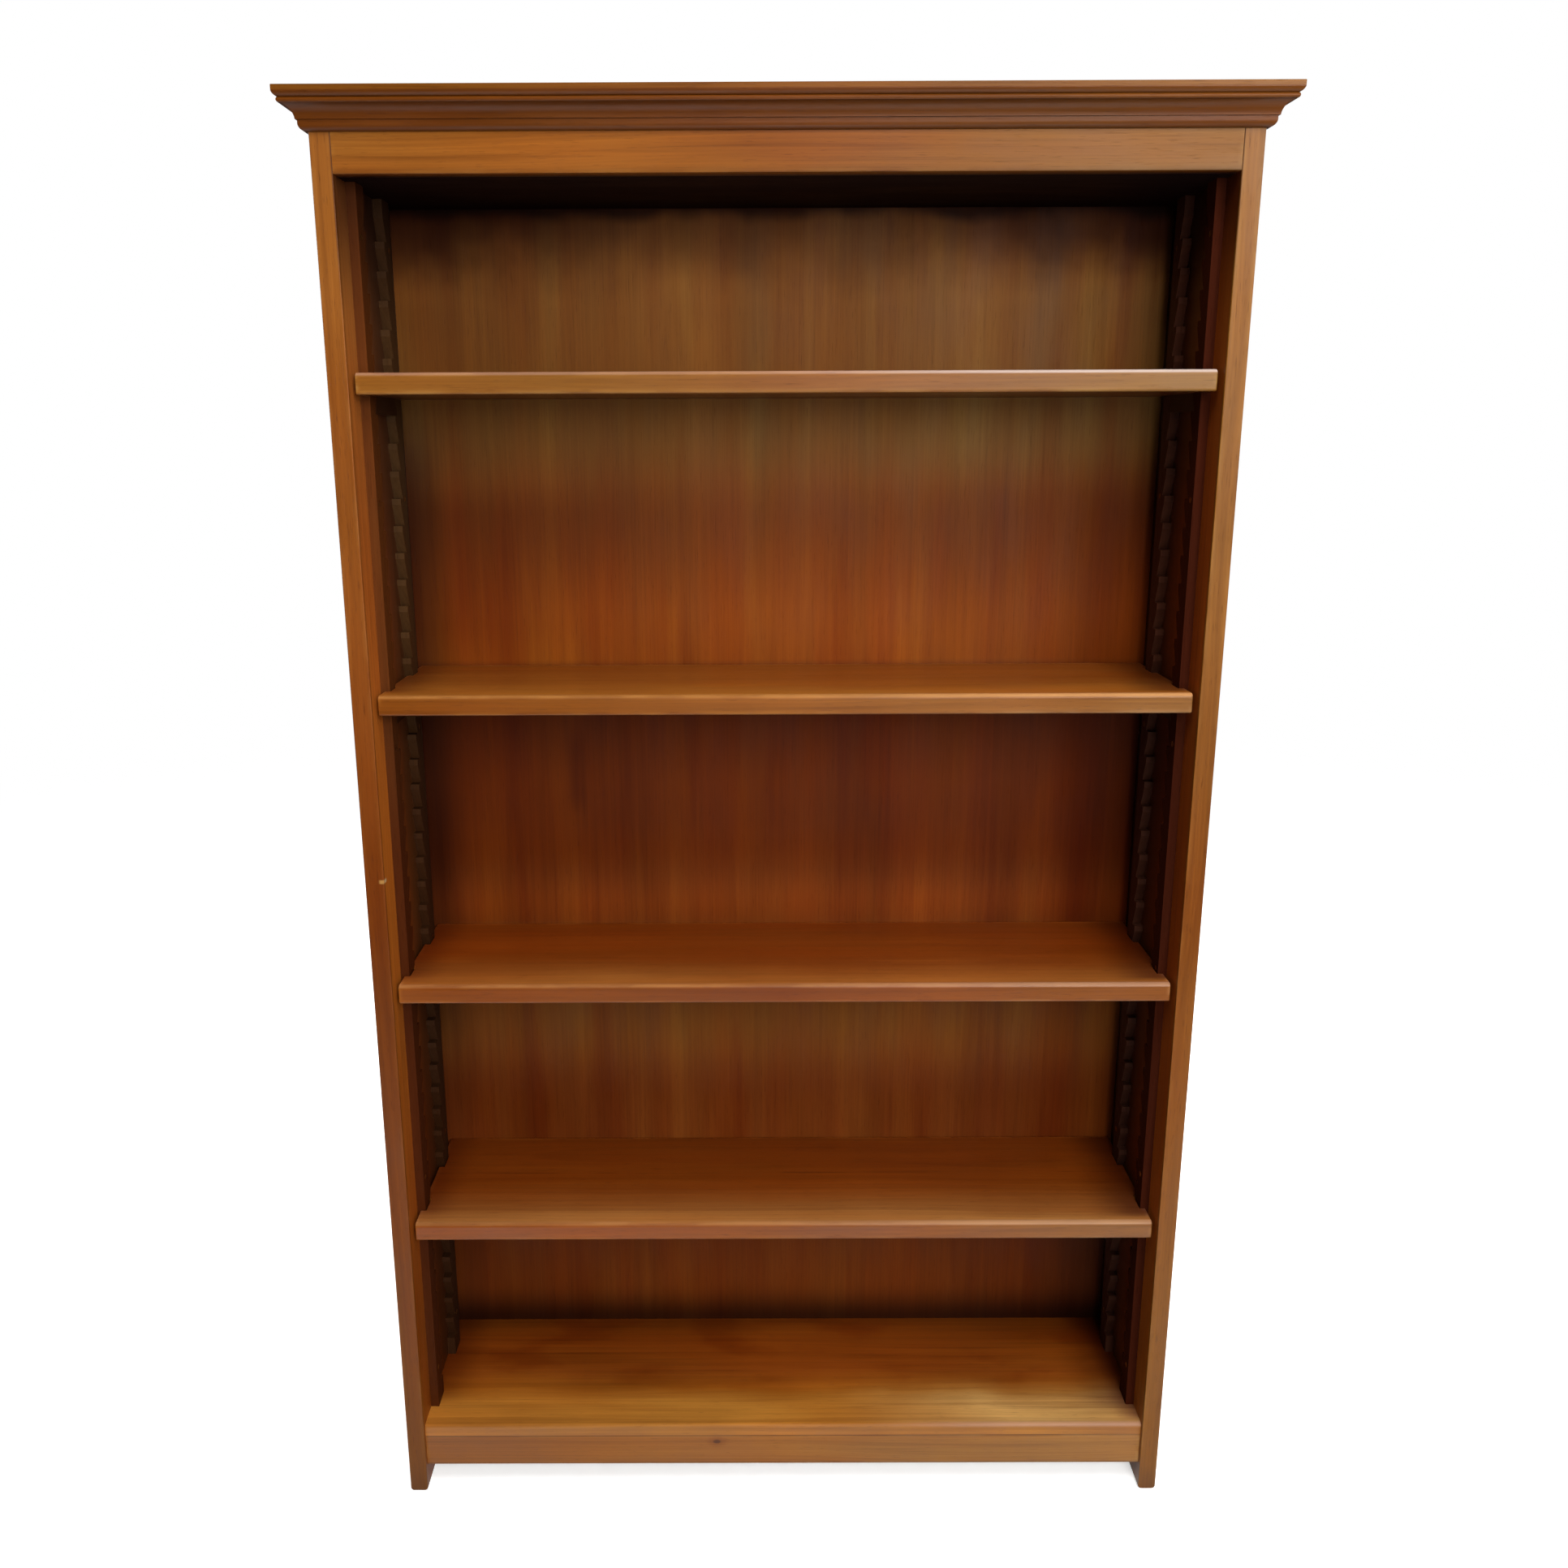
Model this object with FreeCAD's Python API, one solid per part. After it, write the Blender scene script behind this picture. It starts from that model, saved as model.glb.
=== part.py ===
import FreeCAD, Part

import math
import os

# Open bookcase with four adjustable shelves, in millimetres.
# Frame: +Z up, the front faces -Y, and the origin is on the floor at the middle of the
# outline seen from above.
#
# The carcass is two solid sides standing on the floor, a bottom board on a plinth rail,
# a top board behind a frieze rail, a thin back panel pinned into rebates, and a mitred
# cornice round the top. Each side carries two upright saw-tooth racks. A loose bar lies
# across each pair of racks, with its bevelled ends in two notches, and a shelf rests on
# two bars. A shelf has a notch round every rack, so it lifts straight up off its bars,
# and a bar slides out of its notches towards the middle of the bookcase.

# ---- driving dimensions -------------------------------------------------------------

carcass_width = 1100.0
carcass_depth = 265.0
side_thickness = 25.0
side_height = 1887.0
arris_radius = 1.2            # worn edges of the fixed boards
foot_radius = 5.0             # lower corners of the sides, rubbed round on the floor

plinth_underside = 38.0
plinth_height = 50.0
plinth_thickness = 20.0
plinth_setback = 9.0
bottom_thickness = 18.0
bottom_setback = 8.0
bottom_nosing_radius = 5.0

top_underside = 1806.0
top_thickness = 20.0
frieze_thickness = 22.0
rear_rail_thickness = 20.0
cap_thickness = 8.0
housing_depth = 8.0           # grooves in the sides that hold the top and bottom boards
housing_setback = 30.0        # the grooves stop short of the front edge

back_thickness = 6.0
rebate_width = 10.0
rebate_depth = 8.0
back_side_gap = 0.5

cornice_projection = 30.0
cornice_height = 44.0
ovolo_bulge = 1.7             # how far each curve of the moulding leaves its chord
cove_bulge = 3.2
bead_bulge = 1.2
cyma_bulge = 1.2
crown_bulge = 0.29

rack_thickness = 12.0
rack_width = 34.0
front_rack_setback = 49.0     # from the front edge of the side
rear_rack_setback = 170.0
tooth_pitch = 36.0
tooth_depth = 12.0
notch_height = 28.0
first_seat_height = 28.8      # above the bottom board
notch_count = 46

bar_height = 22.0
bar_thickness = 11.5
bar_end_gap = 0.5

shelf_notches = (39, 28, 17, 7)   # notch number that holds each shelf, highest shelf first
shelf_thickness = 26.0
shelf_end_gap = 5.0
shelf_setback = 12.0
shelf_back_gap = 2.0
shelf_rack_gap = 1.5
shelf_top_radius = 6.0
shelf_under_radius = 3.0
shelf_end_radius = 1.5

screw_shank_radius = 2.0
screw_head_radius = 4.0
screw_head_height = 2.6
screw_length = 30.0
screw_slot_width = 1.0
screw_slot_depth = 1.2
screw_end_margin = 60.0
screws_per_rack = 6

pin_shank_radius = 0.8
pin_head_radius = 1.8
pin_head_height = 0.8
pin_length = 22.0
pins_up_each_side = 13
pins_along_each_board = 7
cap_pin_places = (0.12, 0.37, 0.63, 0.88)    # shares of the depth, from the front

dowel_radius = 4.0
dowel_length = 36.0
dowel_in_side = 15.0
plinth_dowel_places = (0.3, 0.7)             # shares of the rail's height
frieze_dowel_places = (0.25, 0.75)
block_leg = 24.0
block_length = 70.0
block_spacing = 420.0
blocks_per_rail = 3

# ---- levels and lines worked out from them -------------------------------------------

outer_x = carcass_width / 2
inner_x = outer_x - side_thickness
overall_depth = carcass_depth + cornice_projection
front_y = cornice_projection - overall_depth / 2
back_y = front_y + carcass_depth
back_panel_front_y = back_y - rebate_depth
plinth_top = plinth_underside + plinth_height
floor_of_case = plinth_top + bottom_thickness
cornice_underside = side_height + cap_thickness - cornice_height
seat_zero = floor_of_case + first_seat_height

front_rack_y = front_y + front_rack_setback
rear_rack_y = front_y + rear_rack_setback
front_notch_y = front_rack_y + rack_width - tooth_depth
rear_notch_y = rear_rack_y + tooth_depth

same_place = 0.01             # tolerance when an edge is picked by its position


def seat_height(notch):
    """Height of the level seat of a notch, counted from 0 at the bottom."""
    return seat_zero + notch * tooth_pitch


def box(x_low, x_high, y_low, y_high, z_low, z_high):
    corner = FreeCAD.Vector(x_low, y_low, z_low)
    return Part.makeBox(x_high - x_low, y_high - y_low, z_high - z_low, corner)


def prism(points, direction):
    """Extrude the closed outline through these points."""
    outline = Part.makePolygon([FreeCAD.Vector(*point) for point in points + points[:1]])
    return Part.Face(outline).extrude(FreeCAD.Vector(*direction))


def at(value, target):
    return abs(value - target) < same_place


def round_edges(shape, radius, wanted):
    """Round every edge whose bounding box satisfies the test."""
    return shape.makeFillet(radius, [edge for edge in shape.Edges if wanted(edge.BoundBox)])


def mirrored(shape):
    """The same piece for the other side of the bookcase."""
    return shape.mirror(FreeCAD.Vector(0, 0, 0), FreeCAD.Vector(1, 0, 0))


def join(solids):
    """Keep separate solids together in one shape."""
    return Part.makeCompound(solids)


# ---- fasteners -----------------------------------------------------------------------


def screw(x_face, y, z):
    """Slotted countersunk screw driven into the right-hand side, along +X."""
    outward = FreeCAD.Vector(1, 0, 0)
    head = Part.makeCone(screw_head_radius, screw_shank_radius, screw_head_height,
                         FreeCAD.Vector(x_face, y, z), outward)
    shank_length = screw_length - screw_head_height
    shank = Part.makeCylinder(screw_shank_radius, shank_length,
                              FreeCAD.Vector(x_face + screw_head_height, y, z), outward)
    half_slot = screw_slot_width / 2
    slot = box(x_face, x_face + screw_slot_depth, y - half_slot, y + half_slot,
               z - screw_head_radius, z + screw_head_radius)
    return head.fuse(shank).removeSplitter(), slot


def rack_screws_right():
    """Every screw of the two right-hand racks, as (uncut screw, slot) pairs."""
    web = rack_width - tooth_depth
    low = floor_of_case + screw_end_margin
    high = top_underside - screw_end_margin
    step = (high - low) / (screws_per_rack - 1)
    x_face = inner_x - rack_thickness
    pairs = []
    for y in (front_rack_y + web / 2, rear_rack_y + rack_width - web / 2):
        for number in range(screws_per_rack):
            pairs.append(screw(x_face, y, low + number * step))
    return pairs


def pin(point, direction):
    """Flat-headed panel pin whose head is at the point and whose shank runs along direction."""
    start = FreeCAD.Vector(*point)
    along = FreeCAD.Vector(*direction)
    head = Part.makeCylinder(pin_head_radius, pin_head_height, start, along)
    shank = Part.makeCylinder(pin_shank_radius, pin_length, start, along)
    return head.fuse(shank)


def back_pins():
    """Pins round the edge of the back panel."""
    y = back_panel_front_y + back_thickness
    side_x = inner_x + rebate_width / 2
    low = plinth_top + bottom_thickness / 2
    high = side_height - rebate_width
    pins = []
    for number in range(pins_up_each_side):
        z = low + (high - low) * number / (pins_up_each_side - 1)
        pins.append(pin((side_x, y, z), (0, -1, 0)))
        pins.append(pin((-side_x, y, z), (0, -1, 0)))
    for z in (low, top_underside + top_thickness / 2):
        for number in range(pins_along_each_board):
            x = inner_x * (2 * (number + 1) / (pins_along_each_board + 1) - 1)
            pins.append(pin((x, y, z), (0, -1, 0)))
    return join(pins)


def cap_pins():
    """Pins that hold the dust board down on the sides."""
    x = inner_x + side_thickness / 2
    z = side_height + cap_thickness
    pins = []
    for share in cap_pin_places:
        y = front_y + share * carcass_depth
        pins.append(pin((x, y, z), (0, 0, -1)))
        pins.append(pin((-x, y, z), (0, 0, -1)))
    return join(pins)


def dowels(y, heights):
    """Dowels from a rail into the right-hand and left-hand sides."""
    pegs = []
    for z in heights:
        start = FreeCAD.Vector(inner_x - dowel_length + dowel_in_side, y, z)
        peg = Part.makeCylinder(dowel_radius, dowel_length, start, FreeCAD.Vector(1, 0, 0))
        pegs.append(peg)
        pegs.append(mirrored(peg))
    return join(pegs)


def plinth_dowels():
    y = front_y + plinth_setback + plinth_thickness / 2
    return dowels(y, [plinth_underside + share * plinth_height for share in plinth_dowel_places])


def frieze_dowels():
    y = front_y + frieze_thickness / 2
    height = side_height - top_underside
    return dowels(y, [top_underside + share * height for share in frieze_dowel_places])


def glue_blocks(y_back, z_corner, upward):
    """Three-cornered blocks behind a rail, against a board that is above or below them."""
    leg = block_leg * upward
    blocks = []
    for number in range(blocks_per_rail):
        x = (number - (blocks_per_rail - 1) / 2) * block_spacing - block_length / 2
        outline = [(x, y_back, z_corner), (x, y_back + block_leg, z_corner), (x, y_back, z_corner + leg)]
        blocks.append(prism(outline, (block_length, 0, 0)))
    return join(blocks)


def plinth_blocks():
    return glue_blocks(front_y + plinth_setback + plinth_thickness, plinth_top, -1)


def frieze_blocks():
    return glue_blocks(front_y + frieze_thickness, top_underside + top_thickness, 1)


# ---- carcass -------------------------------------------------------------------------


def right_side():
    """Solid side: rebated for the back, grooved for two boards, bored for its fasteners."""
    slab = box(inner_x, outer_x, front_y, back_y, 0, side_height)
    slab = round_edges(slab, foot_radius,
                       lambda span: at(span.ZMax, 0) and at(span.YLength, carcass_depth))
    slab = round_edges(slab, arris_radius,
                       lambda span: at(span.YMax, front_y) and not at(span.ZMin, side_height))
    rebate = box(inner_x, inner_x + rebate_width, back_panel_front_y, back_y, plinth_top, side_height)
    grooves = [box(inner_x, inner_x + housing_depth, front_y + housing_setback, back_panel_front_y,
                   level, level + thickness)
               for level, thickness in ((plinth_top, bottom_thickness), (top_underside, top_thickness))]
    fasteners = [whole for whole, slot in rack_screws_right()]
    fasteners += [back_pins(), cap_pins(), plinth_dowels(), frieze_dowels()]
    return slab.cut([rebate] + grooves + fasteners)


def plinth_rail():
    y = front_y + plinth_setback
    rail = box(-inner_x, inner_x, y, y + plinth_thickness, plinth_underside, plinth_top)
    rail = round_edges(rail, arris_radius,
                       lambda span: at(span.YMax, y) and at(span.ZMax, plinth_underside))
    return rail.cut(plinth_dowels())


def frieze_rail():
    rail = box(-inner_x, inner_x, front_y, front_y + frieze_thickness, top_underside, side_height)
    rail = round_edges(rail, arris_radius,
                       lambda span: at(span.YMax, front_y) and at(span.ZMax, top_underside))
    return rail.cut(frieze_dowels())


def bottom_board():
    """Bottom board with a rounded nosing; its ends are tongued into the sides."""
    y = front_y + bottom_setback
    board = box(-inner_x, inner_x, y, back_panel_front_y, plinth_top, floor_of_case)
    board = round_edges(board, bottom_nosing_radius,
                        lambda span: at(span.YMax, y) and at(span.ZMin, floor_of_case))
    reach = inner_x + housing_depth
    tongues = box(-reach, reach, front_y + housing_setback, back_panel_front_y,
                  plinth_top, floor_of_case)
    return board.fuse(tongues).removeSplitter().cut(back_pins())


def top_board():
    reach = inner_x + housing_depth
    top = top_underside + top_thickness
    board = box(-inner_x, inner_x, front_y + frieze_thickness, back_panel_front_y, top_underside, top)
    tongues = box(-reach, reach, front_y + housing_setback, back_panel_front_y, top_underside, top)
    return board.fuse(tongues).removeSplitter().cut(back_pins())


def top_rear_rail():
    """Rail across the back, between the top board and the dust board."""
    rail = box(-inner_x, inner_x, back_panel_front_y - rear_rail_thickness, back_panel_front_y,
               top_underside + top_thickness, side_height)
    return rail.cut(back_pins())


def top_cap():
    """Thin dust board level with the top of the cornice."""
    board = box(-outer_x, outer_x, front_y, back_y, side_height, side_height + cap_thickness)
    return board.cut(cap_pins())


def back_panel():
    reach = inner_x + rebate_width - back_side_gap
    panel = box(-reach, reach, back_panel_front_y, back_panel_front_y + back_thickness,
                plinth_top, side_height)
    return panel.cut(back_pins())


# ---- cornice -------------------------------------------------------------------------


def curved(start, end, bulge):
    """Arc from start to end that leaves its chord by bulge, to the left of the way."""
    chord = end - start
    left = FreeCAD.Vector(-chord.y, chord.x, 0).normalize()
    return Part.Arc(start, (start + end) / 2 + left * bulge, end).toShape()


def cornice_section():
    """Moulding seen from its end: x is how far it stands out, y is height above its foot."""
    def point(out, up):
        return FreeCAD.Vector(out, up, 0)
    foot = point(3.0, 0)
    ovolo_top = point(9.0, 7.5)
    cove_foot = point(9.0, 11.5)
    cove_lip = point(11.0, 11.5)
    cove_top = point(23.5, 26.5)
    bead_foot = point(25.0, 26.5)
    bead_top = point(25.0, 31.5)
    quirk = point(23.5, 31.5)
    fillet_foot = point(cornice_projection, 37.0)
    fillet_top = point(cornice_projection, cornice_height - 1.0)
    crown = point(cornice_projection - 1.0, cornice_height)
    edges = [
        Part.makeLine(point(0, 0), foot),
        curved(foot, ovolo_top, -ovolo_bulge),
        Part.makeLine(ovolo_top, cove_foot),
        Part.makeLine(cove_foot, cove_lip),
        curved(cove_lip, cove_top, cove_bulge),
        Part.makeLine(cove_top, bead_foot),
        curved(bead_foot, bead_top, -bead_bulge),
        Part.makeLine(bead_top, quirk),
        curved(quirk, fillet_foot, -cyma_bulge),
        Part.makeLine(fillet_foot, fillet_top),
        curved(fillet_top, crown, -crown_bulge),
        Part.makeLine(crown, point(0, cornice_height)),
        Part.makeLine(point(0, cornice_height), point(0, 0)),
    ]
    return Part.Face(Part.Wire(edges))


def cornice_length(plan, length, angle, corner):
    """A straight run of the moulding, trimmed to its mitred outline seen from above."""
    section = cornice_section()
    section.rotate(FreeCAD.Vector(0, 0, 0), FreeCAD.Vector(1, 0, 0), 90)
    run = section.extrude(FreeCAD.Vector(0, length, 0))
    run.rotate(FreeCAD.Vector(0, 0, 0), FreeCAD.Vector(0, 0, 1), angle)
    run.translate(FreeCAD.Vector(corner[0], corner[1], cornice_underside))
    outline = [(x, y, cornice_underside) for x, y in plan]
    return run.common(prism(outline, (0, 0, cornice_height)))


def cornice_front():
    far_x = outer_x + cornice_projection
    far_y = front_y - cornice_projection
    plan = [(-outer_x, front_y), (outer_x, front_y), (far_x, far_y), (-far_x, far_y)]
    return cornice_length(plan, 2 * far_x, -90, (-far_x, front_y))


def cornice_right():
    far_x = outer_x + cornice_projection
    far_y = front_y - cornice_projection
    plan = [(outer_x, front_y), (outer_x, back_y), (far_x, back_y), (far_x, far_y)]
    return cornice_length(plan, back_y - far_y, 0, (outer_x, far_y))


# ---- racks, bars and shelves ---------------------------------------------------------


def rack_outline(plain_y, tooth_y):
    """Saw-tooth outline at x = 0. Each notch has a level seat and a sloping back."""
    towards_web = math.copysign(tooth_depth, plain_y - tooth_y)
    points = [(0, plain_y, top_underside), (0, plain_y, floor_of_case), (0, tooth_y, floor_of_case)]
    for notch in range(notch_count):
        seat = seat_height(notch)
        points.append((0, tooth_y, seat))
        points.append((0, tooth_y + towards_web, seat))
        points.append((0, tooth_y, seat + notch_height))
    points.append((0, tooth_y, top_underside))
    return points


def right_rack(plain_y, tooth_y):
    strip = prism(rack_outline(plain_y, tooth_y), (rack_thickness, 0, 0))
    strip.translate(FreeCAD.Vector(inner_x - rack_thickness, 0, 0))
    return strip.cut([whole for whole, slot in rack_screws_right()])


def right_bar(shelf):
    """Loose bar under the right-hand end of a shelf; its ends slope with the notches."""
    seat = seat_height(shelf_notches[shelf])
    front_foot = front_notch_y + bar_end_gap
    rear_foot = rear_notch_y - bar_end_gap
    slope_run = tooth_depth * bar_height / notch_height
    outline = [
        (0, front_foot, seat),
        (0, rear_foot, seat),
        (0, rear_foot - slope_run, seat + bar_height),
        (0, front_foot + slope_run, seat + bar_height),
    ]
    bar = prism(outline, (bar_thickness, 0, 0))
    bar.translate(FreeCAD.Vector(inner_x - rack_thickness, 0, 0))
    return bar


def shelf_board(shelf):
    """Shelf with a soft front edge, eased ends and a notch round each rack."""
    underside = seat_height(shelf_notches[shelf]) + bar_height
    top = underside + shelf_thickness
    reach = inner_x - shelf_end_gap
    front = front_y + shelf_setback
    back = back_panel_front_y - shelf_back_gap
    board = box(-reach, reach, front, back, underside, top)
    for radius, level in ((shelf_top_radius, top), (shelf_under_radius, underside)):
        board = round_edges(board, radius, lambda span: at(span.YMax, front)
                            and at(span.ZMin, level) and at(span.ZMax, level))
    board = round_edges(board, shelf_end_radius,
                        lambda span: at(abs(span.Center.x), reach) and span.YMin < back - same_place)
    notches = []
    rack_face = inner_x - rack_thickness - shelf_rack_gap
    for rack_y in (front_rack_y, rear_rack_y):
        low = rack_y - shelf_rack_gap
        high = rack_y + rack_width + shelf_rack_gap
        notches.append(box(rack_face, reach, low, high, underside, top))
        notches.append(box(-reach, -rack_face, low, high, underside, top))
    return board.cut(notches)


def rack_screws():
    screws = [whole.cut(slot) for whole, slot in rack_screws_right()]
    return join(screws + [mirrored(one) for one in screws])


# ---- build ---------------------------------------------------------------------------

pieces = {
    "right_side": right_side(),
    "left_side": mirrored(right_side()),
    "plinth_rail": plinth_rail(),
    "plinth_blocks": plinth_blocks(),
    "plinth_dowels": plinth_dowels(),
    "bottom_board": bottom_board(),
    "top_board": top_board(),
    "frieze_rail": frieze_rail(),
    "frieze_blocks": frieze_blocks(),
    "frieze_dowels": frieze_dowels(),
    "top_rear_rail": top_rear_rail(),
    "top_cap": top_cap(),
    "cap_pins": cap_pins(),
    "back_panel": back_panel(),
    "back_pins": back_pins(),
    "cornice_front": cornice_front(),
    "cornice_right": cornice_right(),
    "cornice_left": mirrored(cornice_right()),
    "front_right_rack": right_rack(front_rack_y, front_rack_y + rack_width),
    "rear_right_rack": right_rack(rear_rack_y + rack_width, rear_rack_y),
    "rack_screws": rack_screws(),
}
pieces["front_left_rack"] = mirrored(pieces["front_right_rack"])
pieces["rear_left_rack"] = mirrored(pieces["rear_right_rack"])
for shelf in range(len(shelf_notches)):
    pieces["shelf_%d" % (shelf + 1)] = shelf_board(shelf)
    pieces["shelf_%d_right_bar" % (shelf + 1)] = right_bar(shelf)
    pieces["shelf_%d_left_bar" % (shelf + 1)] = mirrored(right_bar(shelf))

os.makedirs("parts", exist_ok=True)
for name, shape in pieces.items():
    shape.exportStep("parts/" + name + ".step")
    bounds = shape.BoundBox
    print("%-20s %d solids, valid %s, volume %.0f, z %.1f to %.1f"
          % (name, len(shape.Solids), shape.isValid(), shape.Volume, bounds.ZMin, bounds.ZMax))
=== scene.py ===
import math

import bpy
from mathutils import Euler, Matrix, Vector


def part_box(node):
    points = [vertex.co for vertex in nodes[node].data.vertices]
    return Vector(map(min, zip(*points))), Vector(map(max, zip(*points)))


# Looks for the bookcase with adjustable shelves. Units are metres, in the frame's axes:
# +Z up, the open front faces -Y, the origin on the floor under the middle.
# Every visible piece is a node of the frame. This script gives each one its own cut of
# wood or metal, and adds the floor, the lamps and the camera.

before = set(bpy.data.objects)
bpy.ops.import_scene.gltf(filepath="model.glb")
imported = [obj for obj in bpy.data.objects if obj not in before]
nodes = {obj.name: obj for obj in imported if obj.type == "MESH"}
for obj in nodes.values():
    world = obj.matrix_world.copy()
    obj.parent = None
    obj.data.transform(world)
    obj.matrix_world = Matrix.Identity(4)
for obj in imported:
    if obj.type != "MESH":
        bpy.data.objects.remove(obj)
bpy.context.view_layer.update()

# Faces of the bookcase that the stains and the painted light and shade refer to.
FRONT_Y = -0.1175            # front edges of the sides, and the frieze
SHELF_FRONT_Y = -0.1055      # front edges of the adjustable shelves
NOSING_Y = -0.1095           # front edge of the bottom board
REAR_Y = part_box("back_panel")[1][1]
WALL_X = 0.525               # inner faces of the sides, left and right
CEILING_Z = 1.806            # underside of the frieze and of the top board
DECK_Z = 0.106               # top of the bottom board
PLINTH_TOP_Z = 0.088
PLINTH_UNDERSIDE_Z = 0.038
SHELF_THICKNESS = 0.026


# ---- colours and small tools ----------------------------------------------------------


def colour(red, green, blue):
    """Linear colour from display values of 0 to 255."""
    def linear(value):
        share = value / 255
        return share / 12.92 if share <= 0.04045 else ((share + 0.055) / 1.055) ** 2.4
    return (linear(red), linear(green), linear(blue), 1.0)


def between(first, second, share):
    """Three factors that lie a share of the way from the first to the second."""
    return tuple(one + (two - one) * share for one, two in zip(first, second))


class Shader:
    """The node tree of one material, with short calls for the nodes it is made of."""

    def __init__(self, name):
        self.material = bpy.data.materials.new(name)
        self.material.use_nodes = True
        self.tree = self.material.node_tree
        self.surface = self.tree.nodes["Principled BSDF"]

    def plug(self, socket, value):
        """Link a socket to a node's output, or set it to a plain value."""
        if isinstance(value, bpy.types.NodeSocket):
            self.tree.links.new(value, socket)
        else:
            socket.default_value = value

    def set(self, **values):
        """Set inputs of the surface; an underscore in a name stands for a space."""
        for name, value in values.items():
            self.plug(self.surface.inputs[name.replace("_", " ")], value)

    def point(self):
        """The place on the piece, in metres, which stays with the piece when it moves."""
        return self.tree.nodes.new("ShaderNodeTexCoord").outputs["Object"]

    def math(self, operation, first, second=0.0, third=0.0):
        node = self.tree.nodes.new("ShaderNodeMath")
        node.operation = operation
        for socket, value in zip(node.inputs, (first, second, third)):
            self.plug(socket, value)
        return node.outputs[0]

    def vector(self, operation, first, second=(0, 0, 0)):
        node = self.tree.nodes.new("ShaderNodeVectorMath")
        node.operation = operation
        self.plug(node.inputs[0], first)
        self.plug(node.inputs[1], second)
        return node.outputs["Value" if operation == "LENGTH" else "Vector"]

    def split(self, vector):
        node = self.tree.nodes.new("ShaderNodeSeparateXYZ")
        self.plug(node.inputs[0], vector)
        return node.outputs

    def join(self, x, y, z):
        node = self.tree.nodes.new("ShaderNodeCombineXYZ")
        for socket, value in zip(node.inputs, (x, y, z)):
            self.plug(socket, value)
        return node.outputs[0]

    def noise(self, place, scale, detail=3.0, rough=0.5, dimensions="3D"):
        """Noise between 0 and 1. Place is a vector, or one number for a 1D noise."""
        node = self.tree.nodes.new("ShaderNodeTexNoise")
        node.noise_dimensions = dimensions
        self.plug(node.inputs["W" if dimensions == "1D" else "Vector"], place)
        self.plug(node.inputs["Scale"], scale)
        self.plug(node.inputs["Detail"], detail)
        self.plug(node.inputs["Roughness"], rough)
        return node.outputs["Fac"]

    def shifted(self, value, noise, amount):
        """The value, moved up and down by at most half of amount as the noise varies."""
        return self.math("MULTIPLY_ADD", self.math("SUBTRACT", noise, 0.5), amount, value)

    def fit(self, value, low, high, to_low=0.0, to_high=1.0, smooth=True):
        """Move the range low to high onto to_low to to_high, and stop at its ends."""
        node = self.tree.nodes.new("ShaderNodeMapRange")
        node.interpolation_type = "SMOOTHSTEP" if smooth else "LINEAR"
        for socket, number in zip(node.inputs, (value, low, high, to_low, to_high)):
            self.plug(socket, number)
        return node.outputs[0]

    def near(self, value, middle, reach, full=0.0):
        """1 where the value is within full of the middle, falling to 0 at reach."""
        away = self.math("ABSOLUTE", self.math("SUBTRACT", value, middle))
        return self.fit(away, reach, full)

    def both(self, *shares):
        """The product of two or more shares: 1 only where all of them are."""
        product = shares[0]
        for share in shares[1:]:
            product = self.math("MULTIPLY", product, share)
        return product

    def mix(self, share, first, second, how="MIX"):
        node = self.tree.nodes.new("ShaderNodeMix")
        node.data_type = "RGBA"
        node.blend_type = how
        self.plug(node.inputs["Factor"], share)
        colours = [socket for socket in node.inputs if socket.type == "RGBA"]
        self.plug(colours[0], first)
        self.plug(colours[1], second)
        return [socket for socket in node.outputs if socket.type == "RGBA"][0]

    def tint(self, shade, share, red, green, blue):
        """Multiply a shade by three factors, where the share is 1."""
        return self.mix(share, shade, self.mix(1.0, shade, (red, green, blue, 1.0), "MULTIPLY"))

    def ramp(self, value, stops):
        """Shades along a value from 0 to 1; each stop is a place and a colour."""
        node = self.tree.nodes.new("ShaderNodeValToRGB")
        self.plug(node.inputs[0], value)
        points = node.color_ramp.elements
        while len(points) < len(stops):
            points.new(0.5)
        for point, (place, shade) in zip(points, stops):
            point.position = place
            point.color = shade
        return node.outputs[0]

    def bump(self, height, strength, distance):
        node = self.tree.nodes.new("ShaderNodeBump")
        self.plug(node.inputs["Strength"], strength)
        self.plug(node.inputs["Distance"], distance)
        self.plug(node.inputs["Height"], height)
        self.plug(self.surface.inputs["Normal"], node.outputs[0])


# ---- wood -----------------------------------------------------------------------------

AXES = "XYZ"


def stained(red, green, blue):
    """The four shades of a figured wood, dark to light, around its mean display colour."""
    mean = colour(red, green, blue)
    brightest = 0.9
    # Each step: its place on the ramp, then its share of the mean's red, green and blue.
    steps = ((0.16, 0.42, 0.34, 0.30), (0.41, 0.86, 0.84, 0.84),
             (0.59, 1.12, 1.14, 1.14), (0.86, 1.60, 1.78, 1.90))
    return [(place, tuple(min(part * factor, brightest) for part, factor in zip(mean, factors)) + (1.0,))
            for place, *factors in steps]


class Wood:
    """What one kind of wood looks like: its shades from dark to light, its figure and its polish."""

    def __init__(self, stops, ring=0.005, contrast=0.30, fibre=0.34, streak=0.22, mottle=0.40,
                 worn=None, wear=0.0, rough=0.42, coat=0.15, shine=0.4, pore=0.5):
        self.stops = stops
        self.ring = ring                # width of a growth ring, in metres
        self.contrast = contrast        # strength of the rings, then of the other figures
        self.fibre = fibre
        self.streak = streak
        self.mottle = mottle
        self.worn = worn                # colour of a rubbed edge, or None
        self.wear = wear
        self.rough = rough
        self.coat = coat
        self.shine = shine
        self.pore = pore


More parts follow.
